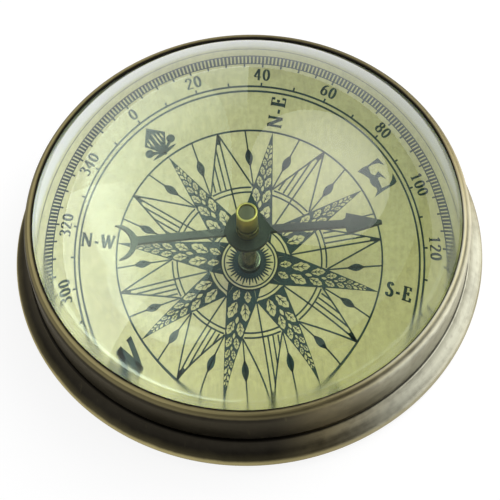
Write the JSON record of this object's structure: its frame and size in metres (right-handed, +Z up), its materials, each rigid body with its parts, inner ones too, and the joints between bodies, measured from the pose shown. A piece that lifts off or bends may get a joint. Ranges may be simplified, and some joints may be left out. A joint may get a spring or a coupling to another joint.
{
  "type": "compass paperweight",
  "caption": "Round brass desk compass: turned base with a spread foot, printed dial, needle turning freely on a point, and a thick domed magnifying glass under a bezel.",
  "frame": {"origin": "centre of the foot ring, on the plane the object stands on", "axes": "+Z up along the axis of the turned case and the needle's point, +X along the needle's barbed end at rest, turned by 1.4 degrees"},
  "size_m": [0.08, 0.08, 0.034],
  "materials": {
    "aged_brass": "turned brass with a dark antique patina, rubbed bright along its edges",
    "turned_brass": "turned brass, lightly tarnished",
    "dial_brass": "brushed and lacquered brass sheet with dark printing",
    "clear_glass": "polished clear optical glass",
    "black_rubber": "matte black packing ring",
    "dark_steel": "thin steel sheet, oxidised dark",
    "polished_steel": "ground steel point",
    "agate": "polished grey-green stone"
  },
  "bodies": {
    "case": {"base_body": "aged_brass", "bezel_ring": "aged_brass", "lens": "clear_glass", "lens_gasket": "black_rubber", "spacer_ring": "turned_brass", "dial_plate": "dial_brass", "pivot_post": "turned_brass", "pivot_pin": "polished_steel"},
    "needle": {"needle": "dark_steel", "needle_cap": "turned_brass", "cap_jewel": "agate"}
  },
  "joints": [
    {"name": "needle_spin", "type": "hinge", "parent": "case", "child": "needle", "pos_m": [0, 0, 0.0108], "axis": [0, 0, 1], "continuous": true}
  ]
}
